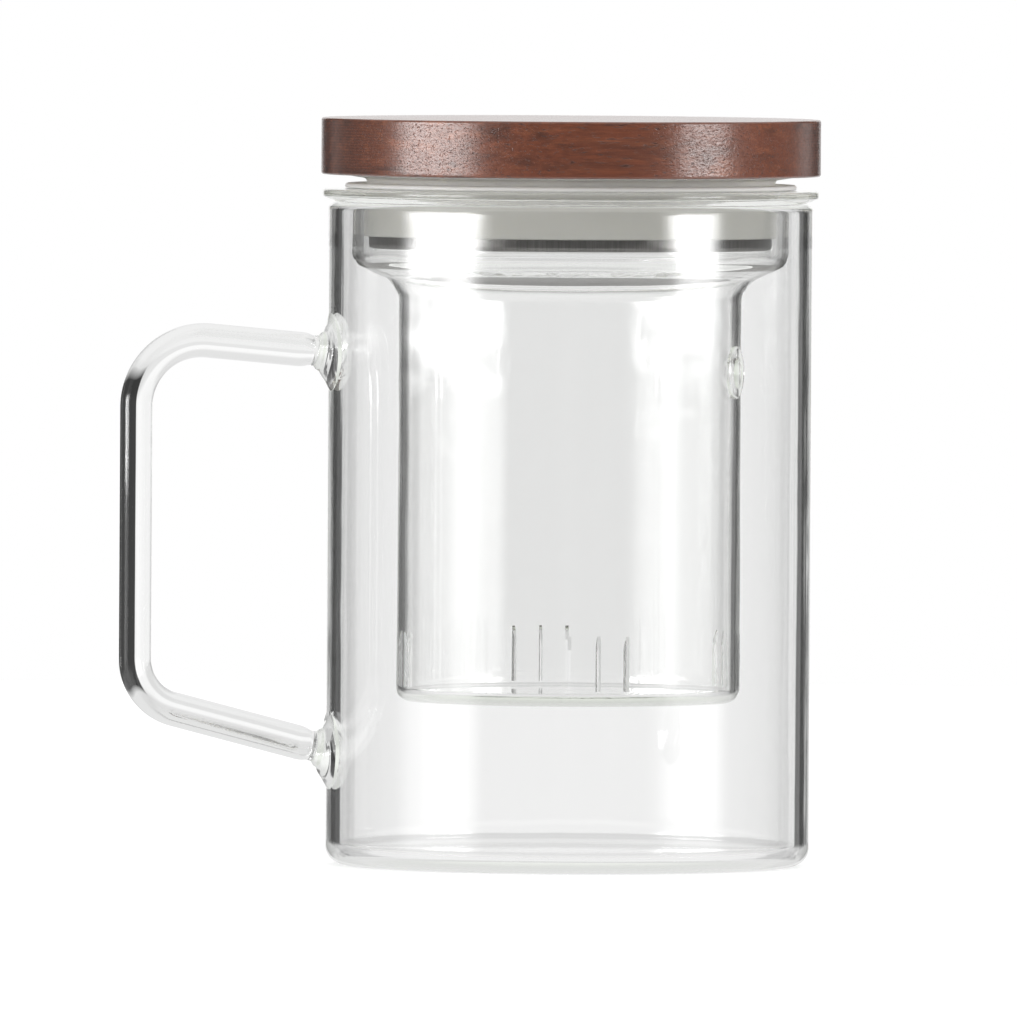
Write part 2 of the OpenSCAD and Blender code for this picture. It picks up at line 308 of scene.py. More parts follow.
def clear_glass(name, finish, density, sawn_below=None):
    """Drawn borosilicate: faint streaks along the tube, smears, dull saw cuts, a green tinge where thick."""
    material, tree, out, place = new_material(name)
    streaks = noise(tree, place, (260, 260, 9), detail=2)
    dimples = noise(tree, place, (120, 120, 90), detail=1)
    skin = bumped(tree, streaks, 0.00002)
    skin = bumped(tree, dimples, 0.00002, skin)
    rough = ranged(tree, noise(tree, place, (45, 45, 70), detail=4, rough=0.7), 0.55, 0.8, 0.0, 0.02)
    if sawn_below is not None:
        rough = calc(tree, "MAXIMUM", rough, times(tree, saw_marks(tree, place, sawn_below), 0.5))
    glass = add(tree, "ShaderNodeBsdfPrincipled", {
        "Base Color": (1, 1, 1, 1), "Roughness": rough, "IOR": 1.47,
        "Transmission Weight": 1.0, "Normal": skin,
    }).outputs[0]
    clear = add(tree, "ShaderNodeBsdfTransparent", {"Color": (*finish.glass_clear, 1)}).outputs[0]
    path = add(tree, "ShaderNodeLightPath").outputs
    surface = add(tree, "ShaderNodeMixShader", {0: path["Is Shadow Ray"], 1: glass, 2: clear}).outputs[0]
    mirrored = calc(tree, "GREATER_THAN", path["Glossy Depth"], MOST_MIRRORED + 0.5)
    met = calc(tree, "GREATER_THAN", path["Ray Depth"], MOST_MET + 0.5)
    straight_on = add(tree, "ShaderNodeBsdfTransparent").outputs[0]
    surface = add(tree, "ShaderNodeMixShader", {
        0: calc(tree, "MAXIMUM", mirrored, met), 1: surface, 2: straight_on,
    }).outputs[0]
    tree.links.new(surface, out.inputs["Surface"])
    depth = add(tree, "ShaderNodeVolumeAbsorption", {"Color": (*finish.glass_depth, 1), "Density": density})
    tree.links.new(depth.outputs[0], out.inputs["Volume"])
    return material


def lacquered_walnut(name, finish):
    """Walnut with its grain along X, lathe lines on its end grain, and satin lacquer with fine cracks."""
    material, tree, out, place = new_material(name)
    figure = noise(tree, place, (14, 90, 190), detail=3, rough=0.6, warp=1.2)
    ribbon = noise(tree, place, (22, 240, 420), detail=4, rough=0.65, warp=0.5)
    fibre = noise(tree, place, (130, 2600, 2600), detail=3, rough=0.6)
    pore = noise(tree, place, (420, 3600, 3600), detail=1, rough=0.4)

    dark = ranged(tree, figure, 0.52, 0.72, smooth=True)
    pale = ranged(tree, ribbon, 0.48, 0.75, smooth=True)
    colour = blend_colour(tree, pale, finish.walnut_mid, finish.walnut_light)
    colour = blend_colour(tree, times(tree, dark, 0.75), colour, finish.walnut_dark)
    colour = shaded(tree, colour, ranged(tree, fibre, 0.3, 0.7, 0.72, 1.22))
    pits = ranged(tree, pore, 0.62, 0.72, smooth=True)
    colour = blend_colour(tree, times(tree, pits, 0.7), colour, finish.walnut_dark)

    look = facing(tree)
    end_grain = ranged(tree, calc(tree, "ABSOLUTE", look["X"]), 0.72, 0.97, smooth=True)
    edge = ranged(tree, calc(tree, "ABSOLUTE", look["Z"]), 0.3, 0.7, 1.0, 0.15)
    lathe = add(tree, "ShaderNodeTexWave", {
        "Vector": place, "Scale": 630, "Distortion": 0.6, "Detail": 2, "Detail Scale": 2,
    }, bands_direction="Z").outputs["Fac"]
    grooved = shaded(tree, colour, ranged(tree, lathe, 0.2, 0.8, 0.5, 0.72))
    colour = blend_colour(tree, end_grain, colour, grooved)

    peel = noise(tree, place, (2200, 2200, 2600), detail=2, rough=0.6)
    wrinkled_half = ranged(tree, axes_of(tree, place)["X"], 0.0, 0.02)
    wrinkles = noise(tree, place, (1000, 1000, 1900), detail=2, rough=0.6)
    checks = noise(tree, place, (900, 900, 3000), detail=2, rough=0.6, warp=0.6)
    cracks = ranged(tree, checks, 0.56, 0.70, 1.0, 0.0, smooth=True)
    skin = bumped(tree, times(tree, lathe, end_grain), 0.000008)
    skin = bumped(tree, times(tree, cracks, edge), 0.000009, skin)
    skin = bumped(tree, times(tree, peel, edge), 0.000014, skin)
    skin = bumped(tree, times(tree, wrinkles, wrinkled_half, edge), 0.00004, skin)
    skin = bumped(tree, times(tree, pits, edge), -0.00003, skin)

    worn = noise(tree, place, (60, 60, 90), detail=4, rough=0.7)
    surface = add(tree, "ShaderNodeBsdfPrincipled", {
        "Base Color": colour, "Roughness": ranged(tree, worn, 0.3, 0.7, 0.34, 0.5), "Normal": skin,
        "Specular IOR Level": 0.5,
        "Coat Weight": 1.0, "Coat Roughness": 0.19, "Coat IOR": 1.6, "Coat Normal": skin,
    })
    tree.links.new(surface.outputs[0], out.inputs["Surface"])
    return material


def moulded_silicone(name, finish):
    """Translucent silicone with a fine satin grain and a little dust. Its skirt, below the infuser's rim,
    carries a painted shade.
    """
    material, tree, out, place = new_material(name)
    cloud = noise(tree, place, (60, 60, 60), detail=3)
    dust = ranged(tree, noise(tree, place, (1500, 1500, 1500), detail=2), 0.68, 0.76)
    cloudy = [channel * 0.93 for channel in finish.silicone]
    dusty = (0.85, 0.85, 0.83)
    colour = blend_colour(tree, ranged(tree, cloud, 0.3, 0.7), finish.silicone, cloudy)
    colour = blend_colour(tree, times(tree, dust, 0.5), colour, dusty)
    # Painted shade: the skirt below the infuser's rim is given a colour 0.72 times as bright as the rest of
    # the seal.
    skirt_painted_shade = ranged(tree, axes_of(tree, place)["Z"], RIM_TOP - 0.0006, RIM_TOP, 0.72, 1.0)
    colour = shaded(tree, colour, skirt_painted_shade)
    grain = noise(tree, place, (4000, 4000, 4000), detail=2)
    surface = add(tree, "ShaderNodeBsdfPrincipled", {
        "Base Color": colour, "Roughness": ranged(tree, grain, 0.3, 0.7, 0.38, 0.5),
        "Normal": bumped(tree, grain, 0.00001), "IOR": 1.41, "Subsurface Weight": 0.6,
        "Subsurface Radius": (1, 1, 0.9), "Subsurface Scale": 0.0015,
    })
    tree.links.new(surface.outputs[0], out.inputs["Surface"])
    return material


def brushed_steel(name, finish):
    """Pressed steel, polished round its axis, with fine marks down its side where it was drawn."""
    material, tree, out, place = new_material(name)
    here = axes_of(tree, place)
    around = calc(tree, "ARCTAN2", here["Y"], here["X"])
    squares = [calc(tree, "POWER", here[axis], 2) for axis in "XY"]
    radius = calc(tree, "SQRT", calc(tree, "ADD", *squares))
    polar = add(tree, "ShaderNodeCombineXYZ", {0: around, 1: radius, 2: here["Z"]}).outputs[0]
    rings = noise(tree, polar, (1.5, 9000, 700), detail=3, rough=0.7)
    drawn = noise(tree, polar, (160, 300, 90), detail=3, rough=0.7)
    marks = calc(tree, "ADD", times(tree, rings, 0.4), times(tree, drawn, 0.6))
    smears = noise(tree, place, (90, 90, 200), detail=3)
    brushed = ranged(tree, marks, 0.3, 0.7, 0.34, 0.5)
    smeared = ranged(tree, smears, 0.5, 0.8, 0.0, 0.1)
    surface = add(tree, "ShaderNodeBsdfPrincipled", {
        "Base Color": shaded(tree, finish.steel, ranged(tree, drawn, 0.3, 0.7, 0.72, 1.1)),
        "Metallic": 1.0, "Roughness": calc(tree, "ADD", brushed, smeared),
        "Normal": bumped(tree, marks, 0.000004),
    })
    tree.links.new(surface.outputs[0], out.inputs["Surface"])
    return material


# ---- Shapes ----


def outline(corners, fineness=math.radians(7)):
    """Draws an outline in the XZ plane. A corner is (radius, height), with or without a rounding, in metres.

    One that starts and ends on the axis is left open there, and any other is closed.
    """
    bm = bmesh.new()
    points = [bm.verts.new((corner[0], 0, corner[1])) for corner in corners]
    pairs = list(zip(points, points[1:]))
    if corners[0][0] > 0:
        pairs.append((points[-1], points[0]))
    for pair in pairs:
        bm.edges.new(pair)
    flat = [Vector(corner[:2]) for corner in corners]
    total = len(corners)
    for i, corner in enumerate(corners):
        if len(corner) < 3:
            continue
        before = flat[i - 1] - flat[i]
        after = flat[(i + 1) % total] - flat[i]
        opening = before.angle(after)
        bmesh.ops.bevel(
            bm, geom=[points[i]], offset=corner[2] / math.tan(opening / 2), offset_type="OFFSET",
            segments=max(3, round((math.pi - opening) / fineness)), profile=0.5, affect="VERTICES",
            material=-1,
        )
    return bm


def turned(corners, steps, hold=0.0003):
    """Turns an outline about Z into a closed solid.

    Each straight stretch gets a row close to its ends, which keeps the shading of the roundings out of it.
    """
    bm = outline(corners)
    for edge in bm.edges[:]:
        length = edge.calc_length()
        if length > 4 * hold:
            first = edge.verts[0]
            far = edge.verts[1]
            rest, _ = bmesh.utils.edge_split(edge, first, hold / length)
            rest = next(e for e in (rest, edge) if far in e.verts)
            bmesh.utils.edge_split(rest, far, hold / (length - hold))
    bmesh.ops.spin(
        bm, geom=bm.verts[:] + bm.edges[:], cent=(0, 0, 0), axis=UP, dvec=(0, 0, 0), angle=math.tau,
        steps=steps, use_merge=True, use_duplicate=False,
    )
    poles = [vert for vert in bm.verts if vert.co.xy.length < TOUCH]
    bmesh.ops.remove_doubles(bm, verts=poles, dist=TOUCH)
    bmesh.ops.recalc_face_normals(bm, faces=bm.faces[:])
    return bm


def loft(sections, points):
    """Sweeps a circle through matrices that each place, turn and stretch it, and closes both ends."""
    bm = bmesh.new()
    ring = bmesh.ops.create_circle(bm, cap_ends=True, radius=1, segments=points)["verts"]
    edges = bm.edges[:]
    bmesh.ops.transform(bm, matrix=sections[0], verts=ring)
    for last, section in zip(sections, sections[1:]):
        made = bmesh.ops.extrude_edge_only(bm, edges=edges)["geom"]
        ring = [part for part in made if isinstance(part, bmesh.types.BMVert)]
        lines = [part for part in made if isinstance(part, bmesh.types.BMEdge)]
        edges = [line for line in lines if set(line.verts) <= set(ring)]
        bmesh.ops.transform(bm, matrix=section @ last.inverted(), verts=ring)
    bmesh.ops.contextual_create(bm, geom=edges)
    bmesh.ops.recalc_face_normals(bm, faces=bm.faces[:])
    return bm


def to_object(name, bm):
    mesh = bpy.data.meshes.new(name)
    bm.to_mesh(mesh)
    bm.free()
    piece = bpy.data.objects.new(name, mesh)
    bpy.context.scene.collection.objects.link(piece)
    return piece


def combine(piece, other, operation):
    """Joins another solid to this one, or cuts it away, and deletes the other."""
    step = piece.modifiers.new(operation, "BOOLEAN")
    step.operation, step.solver, step.object = operation, "EXACT", other
    bpy.context.view_layer.objects.active = piece
    bpy.ops.object.modifier_apply(modifier=step.name)
    mesh = other.data
    bpy.data.objects.remove(other)
    bpy.data.meshes.remove(mesh)


def finish_piece(piece, material, body, slot, *nodes, crease=math.radians(32)):
    """Shades a piece smooth but for its creases, and hands it to the frame in place of its CAD nodes."""
    bm = bmesh.new()
    bm.from_mesh(piece.data)
    bmesh.ops.remove_doubles(bm, verts=bm.verts[:], dist=TOUCH)
    bmesh.ops.dissolve_degenerate(bm, edges=bm.edges[:], dist=TOUCH)
    bmesh.ops.recalc_face_normals(bm, faces=bm.faces[:])
    for face in bm.faces:
        face.smooth = True
    for edge in bm.edges:
        edge.smooth = edge.calc_face_angle(0) < crease
    bm.to_mesh(piece.data)
    bm.free()
    piece.data.materials.clear()
    piece.data.materials.append(material)
    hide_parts(*nodes)
    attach(piece, body)


# ---- Mug and handle ----


def bar_section(x, z, heading, thick, wide, lean):
    """Matrix that lays a unit circle as the bar's oval at (x, z), square to a heading in the XZ plane."""
    along = Vector((math.cos(heading), 0, math.sin(heading)))
    outward = Vector((math.sin(heading), 0, -math.cos(heading)))
    side = Vector((0, 1, 0))
    thin = math.cos(lean) * outward + math.sin(lean) * side
    broad = math.cos(lean) * side - math.sin(lean) * outward
    frame_of_oval = Matrix((thin * thick / 2, broad * wide / 2, along)).transposed().to_4x4()
    return Matrix.Translation((x, 0, z)) @ frame_of_oval


def hump(distance, spread):
    """1 at no distance, and falling off on both sides."""
    return math.exp(-((distance / spread) ** 2))


def weld_sections(h, wall_z, slope, outward):
    """Sections from inside the mug's wall, through the flared foot and its folds, to the plain bar."""
    sunk = 0.0012
    reach = 2 * h.weld_out
    rows = 44
    flare_power = 2.3
    neck_thin, neck_spread = 0.13, 0.0011
    fold_pitch, folds_middle, folds_spread = 0.00105, 0.55 * h.weld_out, 0.0012
    sections = []
    for row in range(rows + 1):
        out = -sunk + (reach + sunk) * row / rows
        share = min(1, max(0, 1 - out / h.weld_out))
        flare = share ** flare_power
        neck = neck_thin * hump(out - h.weld_out, neck_spread)
        fold = h.ripple * hump(out - folds_middle, folds_spread) * math.cos(math.tau * out / fold_pitch)
        thick = h.thick * (1 - neck) + (h.weld_high - h.thick) * flare + fold
        wide = h.wide * (1 - neck) + (h.weld_wide - h.wide) * flare + fold
        tilt = slope * (1 - flare)
        heading = math.pi - tilt if outward else math.tau - tilt
        z = wall_z + max(out, 0) * math.tan(slope)
        sections.append(bar_section(-MUG_R - out, z, heading, thick, wide, h.lean * (1 - flare)))
    return sections if outward else sections[::-1]


def bend_sections(h, corner, heading, turn, radius):
    """Sections round a bend that turns left from a heading, where its two runs would meet at the corner."""
    step = math.radians(3)
    steps = round(turn / step)
    start = corner - radius * math.tan(turn / 2) * Vector((math.cos(heading), math.sin(heading)))
    centre = start + radius * Vector((-math.sin(heading), math.cos(heading)))
    sections = []
    for i in range(steps + 1):
        now = heading + turn * i / steps
        x, z = centre + radius * Vector((math.sin(now), -math.cos(now)))
        sections.append(bar_section(x, z, now, h.thick, h.wide, h.lean))
    return sections


def handle_solid(h):
    reach = math.hypot(h.thick * math.cos(h.lean), h.wide * math.sin(h.lean)) / 2
    upright_x = HANDLE_LOW.x + reach
    out = -MUG_R - upright_x
    upper_z = MUG_TOP - h.upper_drop
    upper_corner = Vector((upright_x, upper_z + out * math.tan(h.upper_slope)))
    lower_corner = Vector((upright_x, h.lower_lift + out * math.tan(h.lower_slope)))
    quarter = math.pi / 2
    sections = weld_sections(h, upper_z, h.upper_slope, True)
    upper_turn, lower_turn = quarter + h.upper_slope, quarter - h.lower_slope
    sections += bend_sections(h, upper_corner, math.pi - h.upper_slope, upper_turn, h.upper_bend)
    sections += bend_sections(h, lower_corner, 3 * quarter, lower_turn, h.lower_bend)
    sections += weld_sections(h, h.lower_lift, h.lower_slope, False)
    return loft(sections, h.points)


def mug_solid(mug, handle):
    """The mug's outline has extra rows behind the two welds, so that they shade only the wall close by."""
    inner_r = MUG_R - mug.wall
    row = 0.001
    spread = 0.010
    rows = []
    for middle in (handle.lower_lift, MUG_TOP - handle.upper_drop):
        steps = round(2 * spread / row)
        rows += [(MUG_R, middle - spread + row * i) for i in range(steps + 1)]
    return turned([
        (0, 0),
        (MUG_R, 0, mug.heel),
        *rows,
        (MUG_R, MUG_TOP, mug.lip),
        (inner_r, MUG_TOP, mug.lip),
        (inner_r, mug.floor, mug.well),
        (0, mug.floor),
    ], mug.steps)


class INFUSERMUG_OT_mug(Operator):
    """Turns the mug and melts the bent bar of its handle on to the wall"""

    bl_idname = "infusermug.mug"
    bl_label = "Mug and handle"
    bl_options = {"REGISTER", "UNDO"}

    def execute(self, context):
        made = sizes(context)
        mug = to_object("mug_with_handle", mug_solid(made.mug, made.handle))
        bar = to_object("handle_bar", handle_solid(made.handle))
        combine(mug, bar, "UNION")
        glass = clear_glass("mug_glass", made.finish, made.finish.mug_density)
        finish_piece(mug, glass, "mug", "mug_glass", "mug_body", "handle")
        return {"FINISHED"}


# ---- Infuser ----


def saw_cuts(infuser, tube_r):
    """Makes the solids that the saw takes out: a slit ends at its top in the round of the blade."""
    through, clear_of_blade = 0.0005, 0.001
    depth = infuser.wall + through
    inner = tube_r - depth
    outer = inner + infuser.saw + clear_of_blade
    low = INFUSER_LOW.z + infuser.slit_lift
    middle = low + infuser.slit_high - math.sqrt(infuser.saw ** 2 - (infuser.saw - depth) ** 2)
    top = middle + infuser.saw
    bm = outline([(inner, low), (outer, low), (outer, top), (inner, top, infuser.saw)])
    bmesh.ops.contextual_create(bm, geom=bm.edges[:])
    made = bmesh.ops.extrude_face_region(bm, geom=bm.faces[:])["geom"]
    far_side = [part for part in made if isinstance(part, bmesh.types.BMVert)]
    bmesh.ops.translate(bm, verts=far_side, vec=(0, infuser.slit_wide, 0))
    bmesh.ops.translate(bm, verts=bm.verts[:], vec=(0, -infuser.slit_wide / 2, 0))
    bmesh.ops.recalc_face_normals(bm, faces=bm.faces[:])
    first = bm.verts[:] + bm.edges[:] + bm.faces[:]
    middle_slit = (infuser.slits - 1) / 2
    group_turns = [infuser.slit_turn + math.tau * i / infuser.slit_groups for i in range(infuser.slit_groups)]
    turns = [
        group_turn + infuser.slit_step * (slit - middle_slit)
        for group_turn in group_turns for slit in range(infuser.slits)
    ]
    for turn in turns[1:]:
        made = bmesh.ops.duplicate(bm, geom=first)["geom"]
        copied = [part for part in made if isinstance(part, bmesh.types.BMVert)]
        bmesh.ops.rotate(bm, verts=copied, cent=(0, 0, 0), matrix=Matrix.Rotation(turn, 3, "Z"))
    blade = [part for part in first if isinstance(part, bmesh.types.BMVert)]
    bmesh.ops.rotate(bm, verts=blade, cent=(0, 0, 0), matrix=Matrix.Rotation(turns[0], 3, "Z"))
    return bm


def across_tube(solid, infuser):
    """Turns a solid that was made along Z so that it lies along the pour hole's line."""
    place = (
        Matrix.Translation((0, 0, RIM_TOP - infuser.vent_drop))
        @ Matrix.Rotation(infuser.vent_turn, 4, "Z")
        @ Matrix.Rotation(math.pi / 2, 4, "Y")
    )
    bmesh.ops.transform(solid, matrix=place, verts=solid.verts[:])
    return solid


class INFUSERMUG_OT_infuser(Operator):
    """Turns the infuser, melts the bead round its pour hole, and saws its slits"""

    bl_idname = "infusermug.infuser"
    bl_label = "Infuser"
    bl_options = {"REGISTER", "UNDO"}

    def execute(self, context):
        made = sizes(context)
        infuser, mug = made.infuser, made.mug
        cup_r = MUG_R - mug.wall - infuser.cup_gap
        cup_in_r = cup_r - infuser.wall
        tube_r = cup_r - infuser.tube_step
        tube_in_r = tube_r - infuser.wall
        base_z = INFUSER_LOW.z
        floor_z = base_z + infuser.wall
        rim_under_z = RIM_TOP - infuser.rim_thick
        corner_z = RIM_TOP - infuser.cup_depth
        fall = infuser.shoulder_fall
        drop = infuser.tube_step * math.tan(fall)
        in_corner_z = corner_z + infuser.wall * (1 / math.cos(fall) - math.tan(fall))
        slit_low = base_z + infuser.slit_lift
        slit_top = slit_low + infuser.slit_high
        beside_slits = [slit_low - 0.0001, slit_top + 0.001]
        foot_round, foot_in_round = 0.0024, 0.0005
        waist_round, waist_in_round = 0.0045, 0.0064
        cup_round, cup_in_round = 0.0031, 0.0012
        rim_root, rim_edge, mouth_round = 0.0012, 0.0005, 0.0009
        rim_lift, rim_fall, crown_out = 0.0009, 0.00015, 0.0014
        bm = turned([
            (0, base_z),
            (tube_r, base_z, foot_round),
            *[(tube_r, z) for z in beside_slits],
            (tube_r, corner_z - drop, waist_round),
            (cup_r, corner_z, cup_round),
            (cup_r, rim_under_z, rim_root),
            (MUG_R - mug.wall / 2, rim_under_z),
            (RIM_R, rim_under_z + rim_lift, rim_edge),
            (RIM_R, RIM_TOP - rim_fall, rim_edge),
            (cup_r + crown_out, RIM_TOP),
            (cup_in_r, RIM_TOP, mouth_round),
            (cup_in_r, in_corner_z, cup_in_round),
            (tube_in_r, in_corner_z - drop, waist_in_round),
            *[(tube_in_r, z) for z in reversed(beside_slits)],
            (tube_in_r, floor_z, foot_in_round),
            (0, floor_z),
        ], infuser.steps)
        piece = to_object("glass_infuser", bm)

        hole_steps = 64
        bore_r = infuser.vent_wide / 2
        ring_in_r = bore_r - 0.0001
        ring_out_r = bore_r + infuser.vent_bead
        proud_r = tube_r + infuser.vent_proud
        bead_round = infuser.vent_proud * 0.9
        bead = turned([
            (ring_in_r, tube_r - infuser.wall / 2),
            (ring_out_r, tube_r - infuser.wall / 2),
            (ring_out_r, proud_r, bead_round),
            (ring_in_r, proud_r, bead_round),
        ], hole_steps)
        combine(piece, to_object("bead", across_tube(bead, infuser)), "UNION")
        bore_start, bore_end = tube_in_r / 2, tube_r * 1.2
        bore = turned([(0, bore_start), (bore_r, bore_start), (bore_r, bore_end), (0, bore_end)], hole_steps)
        combine(piece, to_object("bore", across_tube(bore, infuser)), "DIFFERENCE")
        combine(piece, to_object("saw_cuts", saw_cuts(infuser, tube_r)), "DIFFERENCE")
        above_slits = slit_top + infuser.slit_high
        glass = clear_glass("infuser_glass", made.finish, made.finish.infuser_density, above_slits)
        finish_piece(piece, glass, "infuser", "infuser_glass", "infuser")
        return {"FINISHED"}


# ---- Lid ----


class INFUSERMUG_OT_lid_disc(Operator):
    """Turns the walnut disc with the spigot that fills the steel dish"""

    bl_idname = "infusermug.lid_disc"
    bl_label = "Wooden disc"
    bl_options = {"REGISTER", "UNDO"}

    def execute(self, context):
        made = sizes(context)
        lid = made.lid
        spigot_r = DISH_HIGH.x - lid.sheet
        spigot_z = DISH_LOW.z + lid.sheet
        disc = to_object("walnut_disc", turned([
            (0, spigot_z),
            (spigot_r, spigot_z, lid.dish_corner - lid.sheet),
            (spigot_r, DISH_HIGH.z),
            (DISC_HIGH.x, DISH_HIGH.z, lid.disc_edge),
            (DISC_HIGH.x, DISC_HIGH.z, lid.disc_edge),
            (0, DISC_HIGH.z),
        ], lid.steps))
        finish_piece(disc, lacquered_walnut("lacquered_walnut", made.finish), "lid", "walnut", "lid_disc")
        return {"FINISHED"}


class INFUSERMUG_OT_lid_seal(Operator):
    """Turns the silicone seal: its lip, its neck, its flange and its skirt"""

    bl_idname = "infusermug.lid_seal"
    bl_label = "Silicone seal"
    bl_options = {"REGISTER", "UNDO"}

    def execute(self, context):
        made = sizes(context)
        lid = made.lid
        dish_r = DISH_HIGH.x
        skirt_r = dish_r + lid.skirt
        flange_z = RIM_TOP + lid.seat_gap
        neck_z = flange_z + lid.flange
        skirt_round, flange_foot_round, flange_top_round = 0.0003, 0.00025, 0.0005
        seal = to_object("silicone_seal", turned([
            (dish_r, SEAL_LOW.z),
            (skirt_r, SEAL_LOW.z, skirt_round),
            (skirt_r, flange_z),
            (SEAL_HIGH.x, flange_z, flange_foot_round),
            (SEAL_HIGH.x, neck_z, flange_top_round),
            (dish_r + lid.neck, neck_z),
            (dish_r + lid.neck, SEAL_HIGH.z - lid.lip_root, lid.lip_root),
            (SEAL_HIGH.x - lid.lip_in, SEAL_HIGH.z - lid.lip_tip),
            (SEAL_HIGH.x - lid.lip_in, SEAL_HIGH.z),
            (dish_r, SEAL_HIGH.z),
        ], lid.steps))
        finish_piece(seal, moulded_silicone("moulded_silicone", made.finish), "lid", "silicone", "lid_seal")
        return {"FINISHED"}


class INFUSERMUG_OT_lid_dish(Operator):
    """Presses the steel dish that closes the lid from below"""

    bl_idname = "infusermug.lid_dish"
    bl_label = "Steel dish"
    bl_options = {"REGISTER", "UNDO"}

    def execute(self, context):
        made = sizes(context)
        lid = made.lid
        dish_r = DISH_HIGH.x
        inside_r = dish_r - lid.sheet
        dish = to_object("steel_dish", turned([
            (0, DISH_LOW.z),
            (dish_r, DISH_LOW.z, lid.dish_corner),
            (dish_r, DISH_HIGH.z),
            (inside_r, DISH_HIGH.z),
            (inside_r, DISH_LOW.z + lid.sheet, lid.dish_corner - lid.sheet),
            (0, DISH_LOW.z + lid.sheet),
        ], lid.steps))
        finish_piece(dish, brushed_steel("brushed_steel", made.finish), "lid", "steel", "lid_dish")
        return {"FINISHED"}


# ---- Studio ----


def floor_material(studio):
    """White to the camera, with a soft shadow where the mug stands."""
    material, tree, out, place = new_material("studio_floor")
    mottle = noise(tree, place, (6, 6, 6), detail=2)
    worn = [channel * 0.985 for channel in studio.background]
    colour = blend_colour(tree, ranged(tree, mottle, 0.3, 0.7), studio.background, worn)
    shadow_share, glow_share = 0.45, 0.55
    matt_colour = blend_colour(tree, shadow_share, colour, (0, 0, 0))
    matt = add(tree, "ShaderNodeBsdfDiffuse", {"Color": matt_colour}).outputs[0]
    path = add(tree, "ShaderNodeLightPath")
    seen = calc(tree, "MAXIMUM", path.outputs["Is Camera Ray"], path.outputs["Is Glossy Ray"])
    seen = calc(tree, "MAXIMUM", seen, path.outputs["Is Transmission Ray"])
    strength = times(tree, seen, glow_share)
    glow = add(tree, "ShaderNodeEmission", {"Color": colour, "Strength": strength}).outputs[0]
    surface = add(tree, "ShaderNodeAddShader", {0: matt, 1: glow}).outputs[0]
    tree.links.new(surface, out.inputs["Surface"])
    return material


# The studio's directions are in degrees from straight behind the mug, with the left negative. Its heights are
# in degrees above level, and between two heights the light fades from one level to the next.

# The panels round the mug: where each starts, and its level.
PANELS = {
    "room on the left": (-180, 0.1),
    "left softbox": (-134, 1.5),
    "left wall": (-94, 0.15),
    "edge of the left card": (-45, 0.3),
    "left card": (-34, 0.05),
    "backdrop": (-13, 1.0),
    "right card": (13, 0.05),
    "right wall": (34, 0.6),
    "gap on the right": (50, 0.15),
    "right softbox": (101, 1.3),
    "room on the right": (130, 0.1),
}
SHARP_EDGE = 0.7
SOFTBOX_EDGE = 5
PANELS_TOP = (28, 42)
PANELS_FOOT = (-16, -9)
LEFT_BELOW_FOOT = 0.3
GROUND = (-32, -27)

# The bright part of each softbox: its middle, half its width, and how far its light falls off beyond.
SOFTBOX_LIGHTS = ((-113, 13, 16), (116, 8, 8))
SOFTBOX_FOOT = (-1.35, -1.0)
SOFTBOX_TOP = (5, 10)
OVER_SOFTBOX = 0.3

# The card that solid bars show: its middle, half its width and half its height, and how far each fades.
CARD_MIDDLE = 33
CARD_HALF_WIDE, CARD_SIDE_FADE = 18, 1
CARD_HALF_HIGH, CARD_TOP_FADE = 9, 4

# What glass shows of the table behind the mug, of the floor and of the ceiling: heights and levels.
TABLE, TABLE_LEVEL = (-5, -2.6), 0.8
FLOOR, FLOOR_LEVEL = (-16, -12), 1.12
CEILING, CEILING_LEVEL = (5, 12), 0.78


def ring_of_panels(tree, turn):
    """Level of the panels in a direction, which goes round from 0 to 1, with 0.5 straight behind the mug."""
    node = add(tree, "ShaderNodeValToRGB", {0: turn})
    ramp = node.color_ramp
    levels = [value for _, value in PANELS.values()]
    brightest = max(levels)
    ramp.elements[1].color = (*[levels[-1] / brightest] * 3, 1)
    ramp.elements[0].color = (*[levels[0] / brightest] * 3, 1)
    for before, (start, value) in zip(levels, list(PANELS.values())[1:]):
        edge = SOFTBOX_EDGE if abs(start) > 90 else SHARP_EDGE
        for place, here in ((start - edge, before), (start + edge, value)):
            ramp.elements.new(place / 360 + 0.5).color = (*[here / brightest] * 3, 1)
    return calc(tree, "MULTIPLY", node.outputs[0], brightest)


def off_direction(tree, turn, degrees_round):
    """How far a direction is from one that is given in degrees, in turns."""
    return calc(tree, "ABSOLUTE", calc(tree, "SUBTRACT", turn, degrees_round / 360 + 0.5))


